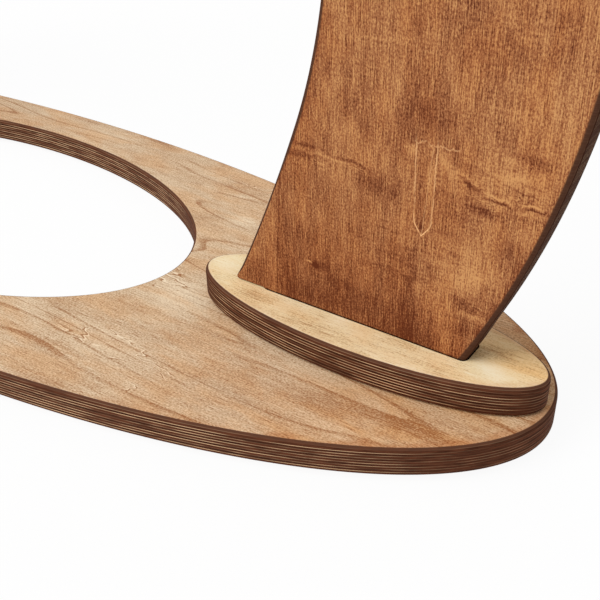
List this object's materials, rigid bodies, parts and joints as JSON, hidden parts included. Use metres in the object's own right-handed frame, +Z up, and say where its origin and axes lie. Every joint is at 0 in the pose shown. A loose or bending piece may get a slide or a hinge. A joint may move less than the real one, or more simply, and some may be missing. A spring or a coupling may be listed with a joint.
{
  "type": "gong stand",
  "caption": "Round plywood frame on an oval plywood base with an oval opening; its feet lift out of slotted pads, and hooks in its opening carry a gong.",
  "frame": {"origin": "on the floor under the middle of the stand, at the undersides of the rubber feet", "axes": "+X along the base plate to the right foot, +Y from front to back, +Z up"},
  "size_m": [0.7966, 0.2482, 0.6143],
  "materials": {
    "base_wood": "light brown stained birch veneer, satin lacquer, dark ply edges",
    "pad_wood": "pale honey stained birch veneer, satin lacquer, dark ply edges",
    "frame_wood": "reddish brown stained birch veneer, satin lacquer, dark ply edges",
    "zinc_steel": "zinc plated",
    "nickel_steel": "nickel plated wire",
    "black_rubber": "matt black"
  },
  "bodies": {
    "base": {"base_plate": "base_wood", "pad_left": "pad_wood", "pad_right": "pad_wood", "pad_screw_left_1": "zinc_steel", "pad_screw_left_2": "zinc_steel", "pad_screw_left_3": "zinc_steel", "pad_screw_left_4": "zinc_steel", "pad_screw_right_1": "zinc_steel", "pad_screw_right_2": "zinc_steel", "pad_screw_right_3": "zinc_steel", "pad_screw_right_4": "zinc_steel", "rubber_foot_1": "black_rubber", "rubber_foot_2": "black_rubber", "rubber_foot_3": "black_rubber", "rubber_foot_4": "black_rubber", "rubber_foot_5": "black_rubber", "rubber_foot_6": "black_rubber"},
    "frame": {"round_frame": "frame_wood", "screw_eye_left": "nickel_steel", "screw_eye_right": "nickel_steel"},
    "hook_left": {"s_hook_left": "nickel_steel"},
    "hook_right": {"s_hook_right": "nickel_steel"}
  },
  "joints": [
    {"name": "frame_lift", "type": "slide", "parent": "base", "child": "frame", "axis": [0, 0, 1], "range_m": [0, 0.045]},
    {"name": "hook_swing_left", "type": "hinge", "parent": "frame", "child": "hook_left", "pos_m": [-0.07222, 0, 0.47325], "axis": [1, 0, 0], "range_deg": [-70, 70]},
    {"name": "hook_swing_right", "type": "hinge", "parent": "frame", "child": "hook_right", "pos_m": [0.07222, 0, 0.47325], "axis": [1, 0, 0], "range_deg": [-70, 70]}
  ]
}
